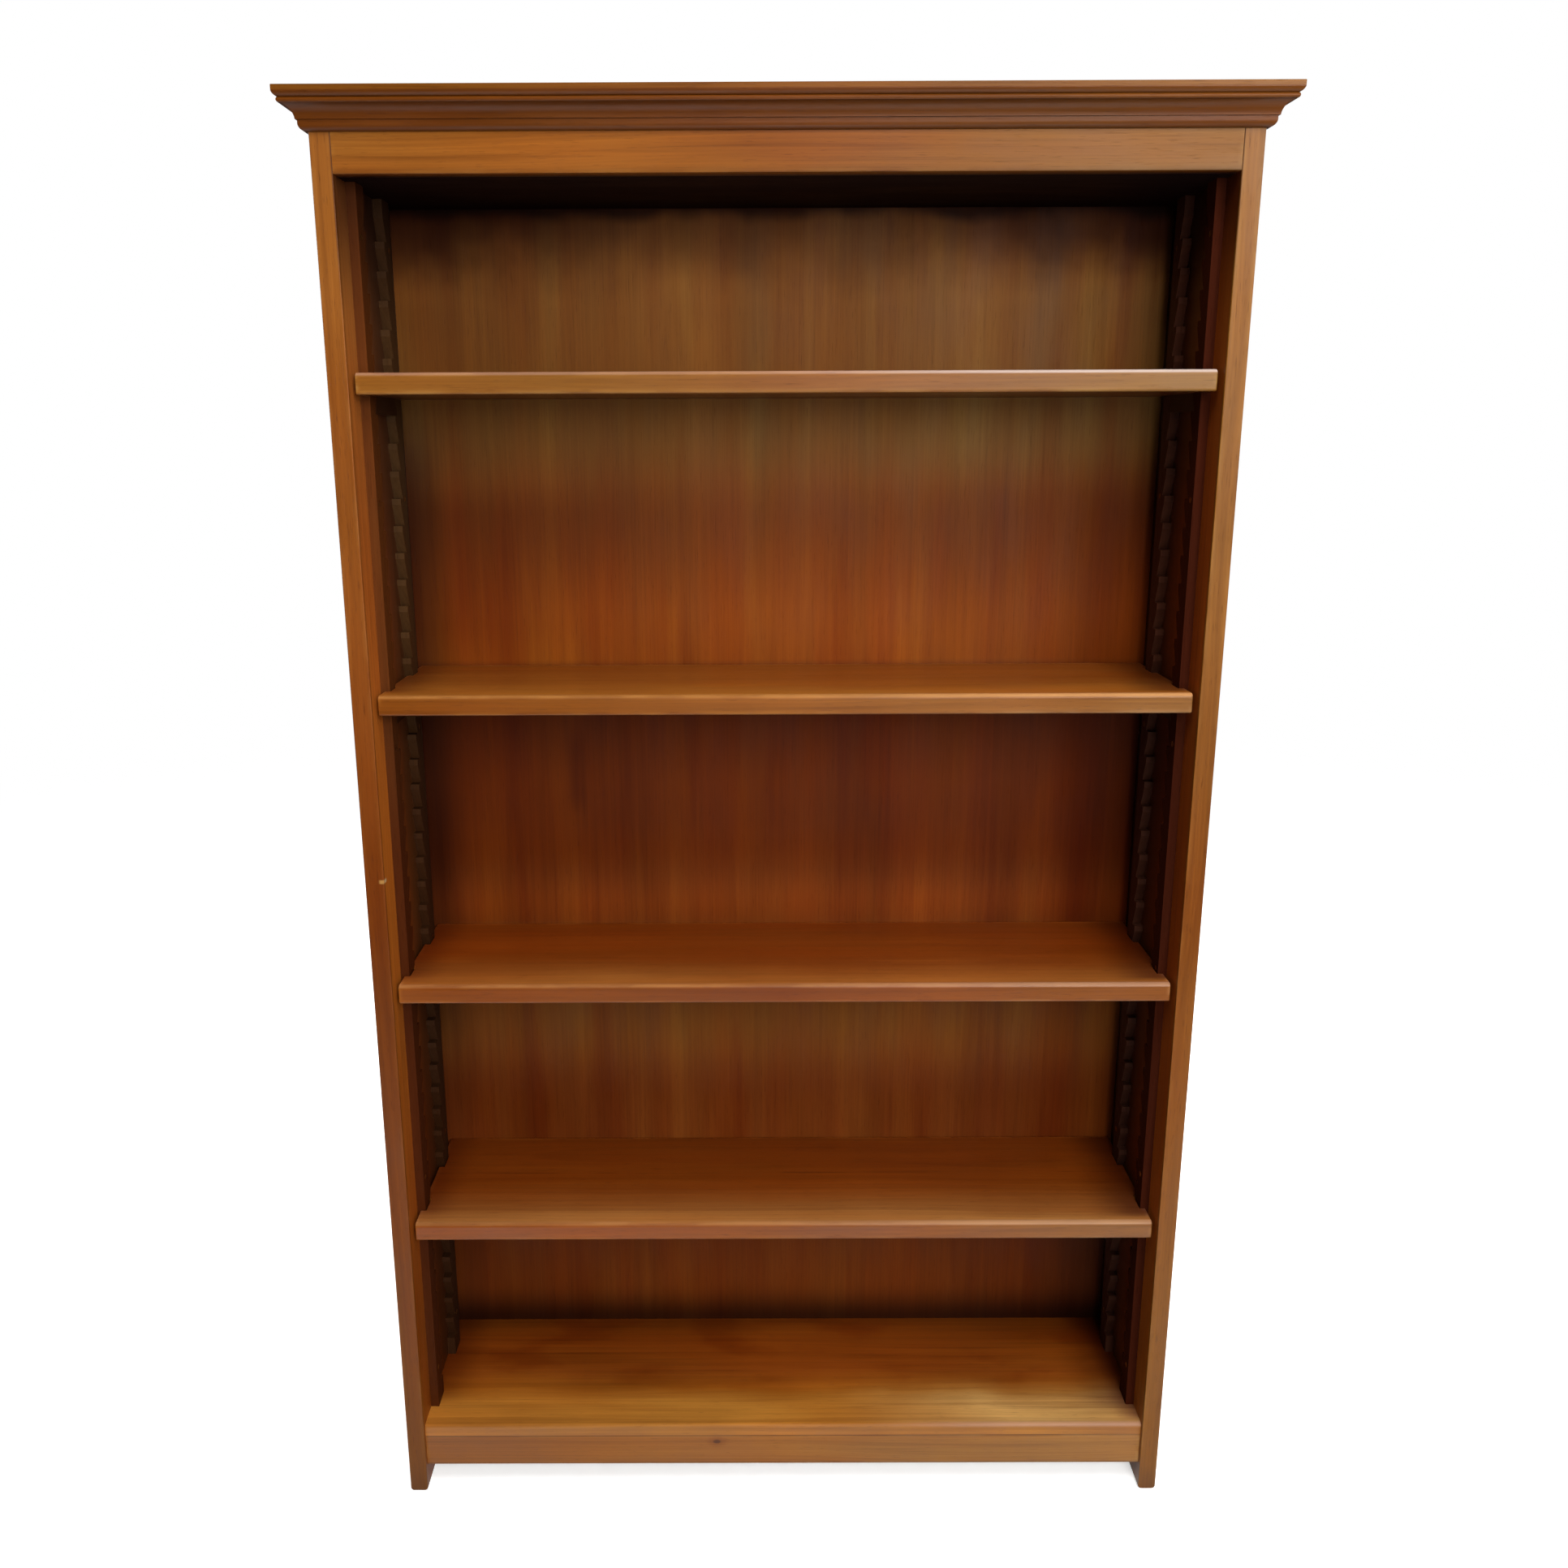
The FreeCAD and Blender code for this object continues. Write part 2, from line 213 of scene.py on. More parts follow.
def cut(shader, grain, middle, pith, turn):
    """Place in the log the piece is cut from: two numbers across the grain and one along it."""
    place = shader.vector("SUBTRACT", shader.point(), tuple(middle))
    parts = shader.split(place)
    along = parts[AXES.index(grain)]
    across = [parts[number] for number in range(3) if AXES[number] != grain]
    return (shader.math("ADD", across[0], pith[0]), shader.math("ADD", across[1], pith[1]),
            shader.math("ADD", along, turn))


def edge_distance(shader, low, high):
    """Distance along the surface to the nearest edge of a piece shaped like a board."""
    place = shader.point()
    inside = shader.vector("MINIMUM", shader.vector("SUBTRACT", place, tuple(low)),
                           shader.vector("SUBTRACT", tuple(high), place))
    x, y, z = shader.split(inside)
    lowest = shader.math("MINIMUM", shader.math("MINIMUM", x, y), z)
    highest = shader.math("MAXIMUM", shader.math("MAXIMUM", x, y), z)
    total = shader.math("ADD", shader.math("ADD", x, y), z)
    return shader.math("SUBTRACT", shader.math("SUBTRACT", total, lowest), highest)


def wooden(name, kind, grain, pith, turn, stain_and_painted_light=None):
    """A cut of wood for one node: growth rings, fibres, pores, wear, stains, painted light and shade,
    and polish.
    """
    shader = Shader("wood_" + name)
    low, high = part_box(name)
    side_way, other_way, length_way = cut(shader, grain, (low + high) / 2, pith, turn)
    log = shader.join(side_way, other_way, length_way)

    def figure_noise(across, along, detail=3.0, rough=0.5):
        """Noise in the log, with this many changes per metre across and along the grain."""
        return shader.noise(shader.vector("MULTIPLY", log, (across, across, along)), 1.0, detail, rough)

    # Growth rings: distance from the pith, bent by waves along the grain.
    radius = shader.vector("LENGTH", shader.join(side_way, other_way, 0.0))
    radius = shader.shifted(radius, figure_noise(3.5, 0.9, 2.0), 0.06)
    radius = shader.shifted(radius, figure_noise(18.0, 2.6), 0.006)
    ring = shader.noise(radius, 1 / kind.ring, 3.0, 0.62, "1D")
    band = shader.noise(radius, 0.16 / kind.ring, 2.0, 0.5, "1D")

    # Fibres, pores and streaks run along the grain, and a blotchy stain lies over them.
    fibre = figure_noise(420.0, 6.0, 4.0, 0.6)
    pore = shader.fit(figure_noise(900.0, 45.0, 2.0), 0.60, 0.72)
    streak = figure_noise(120.0, 1.6, 3.0, 0.6)
    blotch = figure_noise(9.0, 3.0, 3.0, 0.55)

    figure = 0.5
    for noise, strength in ((ring, kind.contrast), (band, kind.contrast), (fibre, kind.fibre),
                            (streak, kind.streak), (blotch, kind.mottle)):
        figure = shader.shifted(figure, noise, strength)
    shade = shader.ramp(figure, kind.stops)
    darkest = kind.stops[0][1]
    shade = shader.mix(shader.math("MULTIPLY", pore, kind.pore), shade, darkest)
    drift = figure_noise(14.0, 2.0, 2.0)
    shade = shader.tint(shade, shader.fit(drift, 0.35, 0.65), 1.04, 0.92, 0.8)

    # Handled edges are rubbed paler, in patches, over this width.
    if kind.worn:
        rubbed_width = 0.007
        by_edge = shader.fit(edge_distance(shader, low, high), 0.0, rubbed_width, 1.0, 0.0)
        patches = shader.fit(figure_noise(60.0, 14.0), 0.38, 0.62)
        shade = shader.mix(shader.both(by_edge, patches, kind.wear), shade, kind.worn)
    # Stains, and painted light and shade, laid over the wood by place.
    if stain_and_painted_light:
        paint = Paint(shader, shade)
        stain_and_painted_light(paint)
        shade = paint.shade

    smear = figure_noise(18.0, 6.0)
    shader.set(Base_Color=shade,
               Roughness=shader.fit(smear, 0.3, 0.7, kind.rough - 0.07, kind.rough + 0.08),
               Coat_Weight=kind.coat, Coat_Roughness=0.3, Specular_IOR_Level=kind.shine)
    relief = shader.math("SUBTRACT", shader.math("MULTIPLY", fibre, 0.4), pore)
    shader.bump(relief, 0.35, 0.0002)
    return shader.material


FRONT = stained(131, 75, 25)
CASE = Wood(FRONT, worn=colour(176, 118, 58), wear=0.22, coat=0.06, shine=0.32)
PLINTH = Wood(stained(152, 94, 42), worn=colour(186, 130, 76), wear=0.35, rough=0.38)
SHELF = Wood(stained(131, 76, 23), contrast=0.24, streak=0.26, mottle=0.34,
             worn=colour(176, 118, 56), wear=0.45, rough=0.36, coat=0.24, shine=0.42)
CORNICE = Wood(stained(89, 43, 8), rough=0.42, coat=0.12, shine=0.35)
BACK = Wood(stained(99, 46, 10), ring=0.008, contrast=0.14, fibre=0.28, streak=0.2, mottle=0.5,
            rough=0.52, coat=0.0, shine=0.22, pore=0.3)
FLOORING = Wood(stained(178, 112, 40), contrast=0.3, streak=0.36, mottle=0.6,
                rough=0.36, coat=0.3, shine=0.45)
SHADED = Wood(stained(120, 70, 28), rough=0.7, coat=0.0, shine=0.1)
RACK = Wood(stained(48, 27, 12), rough=0.65, coat=0.0, shine=0.2)
# LIT_RACK and DIM_RACK are lit and shaded copies of the rack wood: painted light on the front left rack
# and painted shade on the front right rack.
LIT_RACK = Wood(stained(64, 28, 7), rough=0.65, coat=0.0, shine=0.15)
DIM_RACK = Wood(stained(53, 20, 9), rough=0.7, coat=0.0, shine=0.05)
DEAL = Wood(stained(168, 126, 76), ring=0.004, rough=0.7, coat=0.0, pore=0.2)


# ---- age, stains and painted light and shade that depend on the place --------------------


class Paint:
    """The shade of one piece, and the tints laid over it, one after the other.

    Factors are red, green and blue. A pair such as z=(0.05, 0.0) is a soft step along that
    axis, from no effect at the first number to full effect at the second.
    """

    def __init__(self, shader, shade):
        self.shader = shader
        self.shade = shade
        self.x, self.y, self.z = shader.split(shader.point())

    def where(self, *shares, x=None, y=None, z=None):
        """The product of the given shares and of the soft steps along the axes."""
        steps = [self.shader.fit(value, *step)
                 for value, step in ((self.x, x), (self.y, y), (self.z, z)) if step]
        return self.shader.both(*shares, *steps)

    def tint(self, factors, *shares, x=None, y=None, z=None):
        """Multiply the shade by three factors, there."""
        self.shade = self.shader.tint(self.shade, self.where(*shares, x=x, y=y, z=z), *factors)

    def wash(self, share, value, low, high, *washes):
        """Multiply by a row of washes, three factors each, spread over value from low to high."""
        last = len(washes) - 1
        stops = [(number / last, factors + (1.0,)) for number, factors in enumerate(washes)]
        row = self.shader.ramp(self.shader.fit(value, low, high, smooth=False), stops)
        washed = self.shader.mix(1.0, self.shade, row, "MULTIPLY")
        self.cover(share, washed)

    def cover(self, share, shade):
        """Cover with another shade, as far as the share goes."""
        self.shade = self.shader.mix(share, self.shade, shade)

    def noise(self, x=0.0, y=0.0, z=0.0, start=(0.0, 0.0, 0.0), detail=3.0, rough=0.5):
        """Noise with this many changes per metre along each axis.

        An axis left out stays at its start.
        """
        parts = [self.shader.math("MULTIPLY", value, scale) if scale else first
                 for value, scale, first in zip((self.x, self.y, self.z), (x, y, z), start)]
        return self.shader.noise(self.shader.join(*parts), 1.0, detail, rough)


def side_tone_and_painted_light(side, strip_painted_light, front_tone_and_light):
    """The wall inside gets painted shade: redder and darker than the front, more so with depth. Side is
    -1 or 1.

    The strip is the part of the wall in front of the front rack.
    """
    bottom, top = 0.0, 1.85
    nick_height = 0.946

    def stain_and_painted_light(paint):
        shader = paint.shader
        outward = shader.math("MULTIPLY", paint.x, side)
        wall = shader.fit(outward, WALL_X + 0.0025, WALL_X + 0.0005)
        strip = paint.where(wall, y=(FRONT_Y + 0.001, FRONT_Y + 0.0095))
        # Painted light on the inner wall, by height.
        paint.wash(strip, paint.z, bottom, top, *strip_painted_light)
        # Painted shade, deeper towards the back.
        paint.tint((0.42, 0.34, 0.4), wall, y=(-0.085, 0.02))
        above_foot = paint.where(wall, z=(0.036, 0.044))
        paint.tint((0.45, 0.58, 1.0), above_foot, y=(-0.05, 0.05))
        paint.tint((0.42, 0.5, 0.8), above_foot, y=(0.03, 0.13))
        # Painted shade under the top.
        paint.tint((0.3, 0.25, 0.3), wall, z=(1.62, 1.78))
        front = paint.where(y=(FRONT_Y + 0.0045, FRONT_Y + 0.001))
        if side < 0:
            nick = paint.where(shader.near(paint.z, nick_height, 0.0035, 0.0015),
                               shader.fit(outward, WALL_X + 0.008, WALL_X + 0.004),
                               y=(FRONT_Y + 0.0135, FRONT_Y + 0.0085))
            paint.cover(nick, colour(206, 176, 130))
        paint.tint((0.75, 0.72, 0.7), front, z=(0.05, 0.0))
        # The front edge by height: partly its own tone, partly painted light.
        paint.wash(front, paint.z, bottom, top, *front_tone_and_light)
    return stain_and_painted_light


def shelf_tone_and_painted_light(top, deep, lip, spread, left, middle, right, glint, glint_colour, seam=None):
    """Painted light and shade: the top darkens and reddens behind its pale front; the underside and the
    ends are dark.

    Top is the height of the shelf's upper face. Lip and deep tint that face: painted light at the
    front and painted shade behind y = spread. Left, middle and right tint the front edge, partly its
    own tone and partly painted light, and glint is the strength of a painted highlight along its
    arris. Seam is the place in depth of a glue joint between two boards.
    """
    def stain_and_painted_light(paint):
        shader = paint.shader
        above = paint.where(z=(top - 0.0045, top - 0.0015))
        behind = paint.where(y=(SHELF_FRONT_Y + 0.001, SHELF_FRONT_Y + 0.0075))
        front = paint.where(y=(SHELF_FRONT_Y + 0.007, SHELF_FRONT_Y + 0.002),
                            z=(top - 0.0015, top - 0.0045))
        depth = shader.shifted(paint.y, paint.noise(x=5.0, start=(0.0, 0.0, top), detail=2.0), 0.035)
        # The front edge along its length: partly its own tone, partly painted light.
        paint.wash(front, paint.x, -0.5, 0.5, left, middle, right)
        # Painted light on the front of the top, falling to painted shade behind.
        paint.wash(shader.both(above, behind), depth, SHELF_FRONT_Y + 0.0115, spread, lip,
                   between(deep, lip, 0.52), between(deep, lip, 0.24), between(deep, lip, 0.07), deep)
        # Painted shade on the top at both ends, by the racks.
        paint.tint((0.40, 0.34, 0.5), above, x=(0.43, 0.51), y=(-0.100, -0.080))
        paint.tint((0.6, 0.5, 0.6), above, x=(-0.46, -0.52), y=(-0.100, -0.060))
        # Painted highlight along the front arris, brighter to the right.
        arris = paint.where(y=(SHELF_FRONT_Y + 0.009, SHELF_FRONT_Y + 0.005),
                            z=(top - 0.0050, top - 0.0020))
        highlight_share = shader.fit(paint.x, -0.1, 0.40, 0.2 * glint, glint)
        paint.cover(shader.both(arris, highlight_share), glint_colour)
        # Painted shade under the shelf.
        underside = top - SHELF_THICKNESS
        paint.tint((0.3, 0.25, 0.3), behind, z=(underside + 0.004, underside + 0.0005))
        if seam is not None:
            line = shader.near(paint.y, seam, 0.0012, 0.0004)
            broken = shader.fit(shader.noise(paint.x, 9.0, 2.0, 0.5, "1D"), 0.42, 0.60)
            paint.tint((0.5, 0.45, 0.5), line, broken)
    return stain_and_painted_light


def dark_underside(paint):
    """Painted shade: the ceiling of the top compartment is darkened as if it got almost no light."""
    paint.tint((0.03, 0.03, 0.2), z=(CEILING_Z + 0.0025, CEILING_Z + 0.0005))


def frieze_painted_light(paint):
    """Painted light and shade: redder in the middle, paler to the right, a dark lower arris and a dark
    rear.
    """
    front = paint.where(y=(FRONT_Y + 0.0045, FRONT_Y + 0.001))
    # Painted light from the right, along the front.
    paint.wash(front, paint.x, -0.5, 0.5, (1.0, 1.12, 1.1), (0.82, 0.80, 0.32), (0.76, 1.05, 1.5))
    # Painted shade on the lower arris and on the rear.
    paint.tint((0.7, 0.68, 0.7), front, z=(CEILING_Z + 0.009, CEILING_Z + 0.0005))
    paint.tint((0.05, 0.05, 0.3), y=(FRONT_Y + 0.0055, FRONT_Y + 0.0175))


def cornice_painted_light(paint):
    """Painted light: browner to the left, greyer to the right, with a painted highlight on the top
    fillet.
    """
    # Painted light from the right.
    paint.wash(1.0, paint.x, -0.55, 0.55, (1.0, 1.04, 0.6), (0.98, 1.06, 0.6), (1.18, 1.52, 1.6))
    # Painted highlight on the top fillet.
    paint.tint((1.4, 1.75, 1.9), z=(1.8885, 1.8900))


def plinth_knot_and_painted_light(paint):
    """Painted light, darker to the left; a painted shadow under the nosing; and a small round knot."""
    shader = paint.shader
    knot_x, knot_z = -0.097, 0.076
    knot_flatness = 0.6
    # Painted light from the right.
    paint.wash(1.0, paint.x, -0.5, 0.5, (0.72, 0.70, 0.50), (1.0, 1.1, 1.0), (1.08, 1.42, 1.7))
    # Painted shadow under the nosing.
    paint.tint((0.55, 0.5, 0.5), z=(PLINTH_TOP_Z - 0.0045, PLINTH_TOP_Z - 0.001))
    # Painted shade along the bottom edge.
    paint.tint((0.62, 0.62, 0.7), z=(PLINTH_UNDERSIDE_Z + 0.006, PLINTH_UNDERSIDE_Z + 0.0005))
    sideways = shader.math("MULTIPLY", shader.math("SUBTRACT", paint.x, knot_x), knot_flatness)
    away = shader.vector("LENGTH", shader.join(sideways, 0.0, shader.math("SUBTRACT", paint.z, knot_z)))
    paint.tint((0.8, 0.72, 0.6), shader.fit(away, 0.012, 0.004))
    paint.tint((0.42, 0.34, 0.3), shader.fit(away, 0.0045, 0.002))


def left_rack_painted_light(paint):
    """Painted light on the left racks high up, and painted shade on them under the top."""
    paint.tint((1.7, 2.2, 2.3), z=(0.95, 1.30))
    paint.tint((0.5, 0.46, 0.5), z=(1.58, 1.76))


def rear_right_rack_painted_light(paint):
    """Painted light: the rear rack on the right is made a little lighter."""
    paint.tint((1.5, 1.4, 2.4), 1.0)


def back_tone_and_painted_light(paint):
    """Browner above, redder below, paler in the middle, and dark in the corners, mostly painted light
    and shade.

    The heights follow the compartments. The rear face is plain.
    """
    shader = paint.shader
    bare = paint.shade
    aside = shader.fit(shader.math("ABSOLUTE", paint.x), 0.12, 0.46)

    # Upright bands of the veneer, and the general fall of the light as painted light and shade.
    bands = paint.noise(x=17.0, z=1.4, rough=0.55)
    paint.tint((1.16, 1.30, 1.35), shader.fit(bands, 0.50, 0.68))
    paint.tint((0.86, 0.74, 0.7), shader.fit(bands, 0.48, 0.32))
    paint.tint((0.80, 0.74, 0.7), aside)
    paint.tint((1.12, 1.45, 1.5), z=(1.28, 1.50))
    paint.tint((1.10, 1.44, 2.1), z=(1.40, 1.52))

    # Painted light and shade, one compartment after the other, from the top.
    paint.tint((1.25, 1.45, 1.7), paint.where(z=(1.43, 1.54)), z=(1.60, 1.575))
    paint.tint((1.55, 1.65, 0.9), paint.where(z=(1.185, 1.20)), z=(1.40, 1.22))
    paint.tint((0.82, 0.64, 0.10), paint.where(z=(0.84, 0.92)), z=(1.20, 1.10))
    paint.tint((1.30, 1.85, 2.0), paint.where(z=(0.52, 0.64)), z=(0.80, 0.72))
    paint.tint((1.14, 1.55, 3.2), paint.where(z=(0.66, 0.73)), z=(0.80, 0.77))
    paint.tint((1.22, 1.12, 0.8), shader.near(paint.z, 0.825, 0.06), z=(0.78, 0.79))

    # A dark streak in the third compartment, and painted shade along the two walls.
    streak = shader.near(paint.x, -0.30, 0.022, 0.004)
    paint.tint((0.7, 0.62, 0.7), paint.where(streak, z=(0.955, 1.0)), z=(1.12, 1.06))
    left_edge = paint.where(x=(-0.455, -0.515), z=(1.60, 1.45))
    paint.wash(left_edge, paint.z, 0.4, 0.9, (0.8, 0.8, 1.0), (0.6, 0.6, 0.8), (0.36, 0.34, 0.6))
    paint.tint((0.62, 0.5, 0.35), shader.near(paint.z, 1.1, 0.55, 0.3), x=(0.38, 0.46))
    paint.tint((0.4, 0.4, 0.8), x=(0.36, 0.50), z=(0.46, 0.36))

    # Painted shadow: the top compartment darkens towards the ceiling, with a ragged edge.
    ragged = paint.noise(x=9.0, z=9.0, start=(0.0, 2.0, 0.0))
    height = shader.shifted(paint.z, ragged, 0.16)
    paint.tint((0.22, 0.14, 0.13), shader.fit(height, 1.68, 1.80), shader.fit(aside, 0.0, 1.0, 0.6, 1.0))
    # Painted shade on the left of the second compartment, painted light on the right of the first.
    paint.tint((0.84, 0.75, 0.5), paint.where(x=(-0.12, -0.44), z=(1.19, 1.25)), z=(1.46, 1.40))
    paint.tint((1.08, 1.3, 1.6), paint.where(x=(0.05, 0.35), z=(1.42, 1.50)), z=(1.78, 1.68))
    # Painted shade in the corners under the ceiling and above the bottom board.
    paint.tint((0.2, 0.14, 0.2), shader.fit(shader.shifted(paint.z, ragged, 0.05), 1.786, CEILING_Z))
    paint.tint((0.2, 0.2, 0.3), z=(0.175, 0.110))

    rear_face = shader.tint(bare, 1.0, 1.7, 2.5, 6.0)
    paint.cover(paint.where(y=(REAR_Y - 0.003, REAR_Y - 0.001)), rear_face)


def bottom_tone_and_painted_light(paint):
    """Painted light and shade: golden behind the nosing, then red-brown, and dark against the back."""
    shader = paint.shader
    wobble = paint.noise(x=4.0, y=2.0)
    depth = shader.shifted(paint.y, wobble, 0.07)
    # Painted light at the front, falling to painted shade against the back.
    paint.wash(1.0, depth, -0.110, 0.130,
               (0.80, 0.84, 0.95), (1.18, 1.33, 1.47), (0.67, 0.54, 0.37), (0.54, 0.34, 0.26),
               (0.58, 0.37, 0.23), (0.55, 0.34, 0.19), (0.41, 0.27, 0.13))
    blots = paint.noise(x=7.0, y=13.0, start=(0.0, 0.0, 4.0))
    paint.tint((0.80, 0.68, 0.6), shader.fit(blots, 0.50, 0.66), shader.fit(depth, -0.05, 0.0))
    # A painted patch of light at the front right.
    painted_light_patch = shader.fit(depth, 0.0, -0.045)
    paint.tint((1.42, 2.05, 4.6), painted_light_patch, x=(0.05, 0.35), y=(NOSING_Y + 0.001, NOSING_Y + 0.006))
    # Painted shade at the right end.
    paint.tint((0.36, 0.3, 0.4), x=(0.42, 0.52), y=(-0.095, -0.06))
    paint.tint((0.5, 0.4, 0.5), x=(0.485, 0.525), y=(-0.108, -0.092))
    # Painted highlight on the nosing.
    glint = shader.both(paint.where(y=(NOSING_Y + 0.0075, NOSING_Y + 0.003),
                                    z=(DECK_Z - 0.007, DECK_Z - 0.003)),
                        shader.fit(paint.x, 0.1, 0.35, 0.0, 0.5))
    paint.cover(glint, colour(178, 140, 118))
    # Painted shade at the left end.
    paint.tint((0.5, 0.4, 0.4), x=(-0.45, -0.52), y=(-0.08, -0.03))


def metal(name, dark, light, rough):
    """Dull metal with tarnish and fine scratches."""
    shader = Shader(name)
    place = shader.point()
    tarnish = shader.noise(place, 260.0, 4.0, 0.6)
    scratch = shader.noise(shader.vector("MULTIPLY", place, (300.0, 2600.0, 300.0)), 1.0, 2.0)
    shader.set(Base_Color=shader.ramp(tarnish, [(0.3, dark), (0.7, light)]), Metallic=1.0,
               Roughness=shader.fit(tarnish, 0.3, 0.7, rough + 0.15, rough))
    shader.bump(scratch, 0.2, 0.00005)
    return shader.material


def dress(name, material):
    """Give a node this material only."""
    slots = nodes[name].data.materials
    slots.clear()
    slots.append(material)


# Each node's wood, the axis of its grain, the pith of its log, and its stains and painted light
# and shade. The pith is given in metres from the middle of the piece, along the two axes across
# its grain, in the order X, Y, Z.
cuts = {
    "left_side": (CASE, "Z", (0.09, 0.03), side_tone_and_painted_light(
        -1, [(1.0, 0.85, 0.6), (1.5, 1.2, 1.0), (1.9, 1.85, 1.5), (1.7, 1.6, 1.9), (1.5, 1.9, 2.8)],
        [(0.66, 0.68, 0.36), (0.64, 0.50, 0.25), (0.62, 0.43, 0.20), (0.88, 0.88, 0.9),
         (0.92, 0.96, 1.0)])),
    "right_side": (CASE, "Z", (-0.07, -0.05), side_tone_and_painted_light(
        1, [(1.4, 1.5, 1.4), (1.6, 1.25, 1.0), (1.2, 0.9, 0.6), (1.45, 1.05, 0.8), (1.0, 0.8, 0.5)],
        [(0.92, 1.08, 1.0), (0.86, 0.92, 0.85), (0.80, 0.76, 0.65), (0.92, 1.12, 1.2),
         (0.77, 1.0, 1.05)])),
    "plinth_rail": (PLINTH, "X", (0.06, 0.09), plinth_knot_and_painted_light),
    "frieze_rail": (CASE, "X", (0.05, 0.12), frieze_painted_light),
    "bottom_board": (FLOORING, "X", (0.03, 0.08), bottom_tone_and_painted_light),
    "top_board": (SHADED, "X", (-0.04, 0.09), dark_underside),
    "cornice_front": (CORNICE, "X", (0.05, 0.03), cornice_painted_light),
    "cornice_left": (CORNICE, "Y", (0.04, 0.05), cornice_painted_light),
    "cornice_right": (CORNICE, "Y", (-0.04, 0.06), cornice_painted_light),
    "shelf_1": (SHELF, "X", (-0.05, 0.10), shelf_tone_and_painted_light(
        top=1.5868, deep=(1.0, 0.85, 0.65), lip=(1.5, 1.6, 1.8), spread=0.05,
        left=(0.92, 1.13, 1.3), middle=(0.74, 0.79, 0.66), right=(0.80, 1.10, 1.4),
        glint=0.75, glint_colour=colour(206, 190, 180))),
    "shelf_2": (SHELF, "X", (0.07, 0.07), shelf_tone_and_painted_light(
        top=1.1908, deep=(1.0, 0.87, 0.9), lip=(1.85, 2.0, 2.3), spread=0.05,
        left=(0.80, 0.66, 0.38), middle=(1.02, 0.97, 0.62), right=(0.9, 1.22, 2.5),
        glint=0.6, glint_colour=colour(204, 152, 100))),
    "shelf_3": (SHELF, "X", (0.02, 0.12), shelf_tone_and_painted_light(
        top=0.7948, deep=(0.82, 0.49, 0.29), lip=(1.85, 2.0, 3.2), spread=0.015,
        left=(0.90, 0.72, 0.40), middle=(0.66, 0.45, 0.14), right=(1.0, 1.04, 1.5),
        glint=0.5, glint_colour=colour(186, 144, 116))),
    "shelf_4": (SHELF, "X", (-0.06, 0.08), shelf_tone_and_painted_light(
        top=0.4348, deep=(0.77, 0.5, 0.3), lip=(1.84, 2.35, 5.0), spread=0.01,
        left=(0.90, 0.65, 0.14), middle=(0.86, 0.68, 0.2), right=(0.90, 1.04, 1.5),
        glint=0.5, glint_colour=colour(192, 150, 116), seam=0.032)),
    "back_panel": (BACK, "Z", (0.05, 0.22), back_tone_and_painted_light),
    "top_rear_rail": (DEAL, "X", (0.05, 0.06), None),
    "top_cap": (DEAL, "X", (0.02, 0.14), None),
    "plinth_blocks": (DEAL, "X", (0.03, 0.04), None),
    "frieze_blocks": (DEAL, "X", (0.05, 0.03), None),
    "plinth_dowels": (DEAL, "X", (0.04, 0.04), None),
    "frieze_dowels": (DEAL, "X", (0.03, 0.05), None),
    "front_left_rack": (LIT_RACK, "Z", (0.03, 0.06), left_rack_painted_light),
    "rear_left_rack": (RACK, "Z", (-0.04, 0.05), left_rack_painted_light),
    "front_right_rack": (DIM_RACK, "Z", (0.05, -0.04), None),
    "rear_right_rack": (RACK, "Z", (-0.03, -0.06), rear_right_rack_painted_light),
}
for shelf in (1, 2, 3, 4):
    for side, pith in (("left", 0.03), ("right", -0.04)):
        cuts["shelf_%d_%s_bar" % (shelf, side)] = (RACK, "Y", (pith, 0.02 + 0.01 * shelf), None)

# Each piece is cut this much further along the log, so no two share their figure.
CUT_STEP = 3.7
for number, (name, (kind, grain, pith, stain_and_painted_light)) in enumerate(cuts.items()):
    dress(name, wooden(name, kind, grain, pith, CUT_STEP * number, stain_and_painted_light))

brass = metal("tarnished_brass", colour(96, 66, 30), colour(176, 132, 66), 0.35)
steel = metal("dull_steel", colour(70, 66, 62), colour(150, 146, 140), 0.4)
dress("rack_screws", brass)
dress("back_pins", steel)
dress("cap_pins", steel)


# ---- floor, lamps and camera ------------------------------------------------------------


def pale_floor():
    """Round pale floor that fades into the white background, and is not seen from below."""
    reach = 7.0
    bpy.ops.mesh.primitive_circle_add(vertices=96, radius=reach, fill_type="NGON")
    floor = bpy.context.object
    floor.name = "floor"
    shader = Shader("pale_floor")
    place = shader.point()
    speck = shader.noise(place, 40.0, 3.0)
    tone = shader.ramp(speck, [(0.3, colour(248, 247, 246)), (0.7, colour(252, 252, 251))])
    away = shader.vector("LENGTH", place)
    seen = shader.tree.nodes.new("ShaderNodeLightPath").outputs["Is Camera Ray"]
    # Solid near the bookcase. It fades over a long way to the eye, and over a short way to light.
    solid_to_eye = shader.fit(away, 1.6, reach * 0.8, 1.0, 0.0)
    solid_to_light = shader.fit(away, 1.4, 2.2, 1.0, 0.0)
    solid = shader.math("MULTIPLY_ADD", seen, shader.math("SUBTRACT", solid_to_eye, solid_to_light),
                        solid_to_light)
    below = shader.tree.nodes.new("ShaderNodeNewGeometry").outputs["Backfacing"]
    solid = shader.math("MULTIPLY", solid, shader.math("SUBTRACT", 1.0, below))
    glow = shader.fit(away, 0.6, 2.2, 0.40, 0.9)
    shader.set(Base_Color=tone, Roughness=0.8, Emission_Color=tone,
               Emission_Strength=shader.math("MULTIPLY_ADD", seen, glow, 0.1), Alpha=solid)
    floor.data.materials.append(shader.material)
    floor.visible_diffuse = False


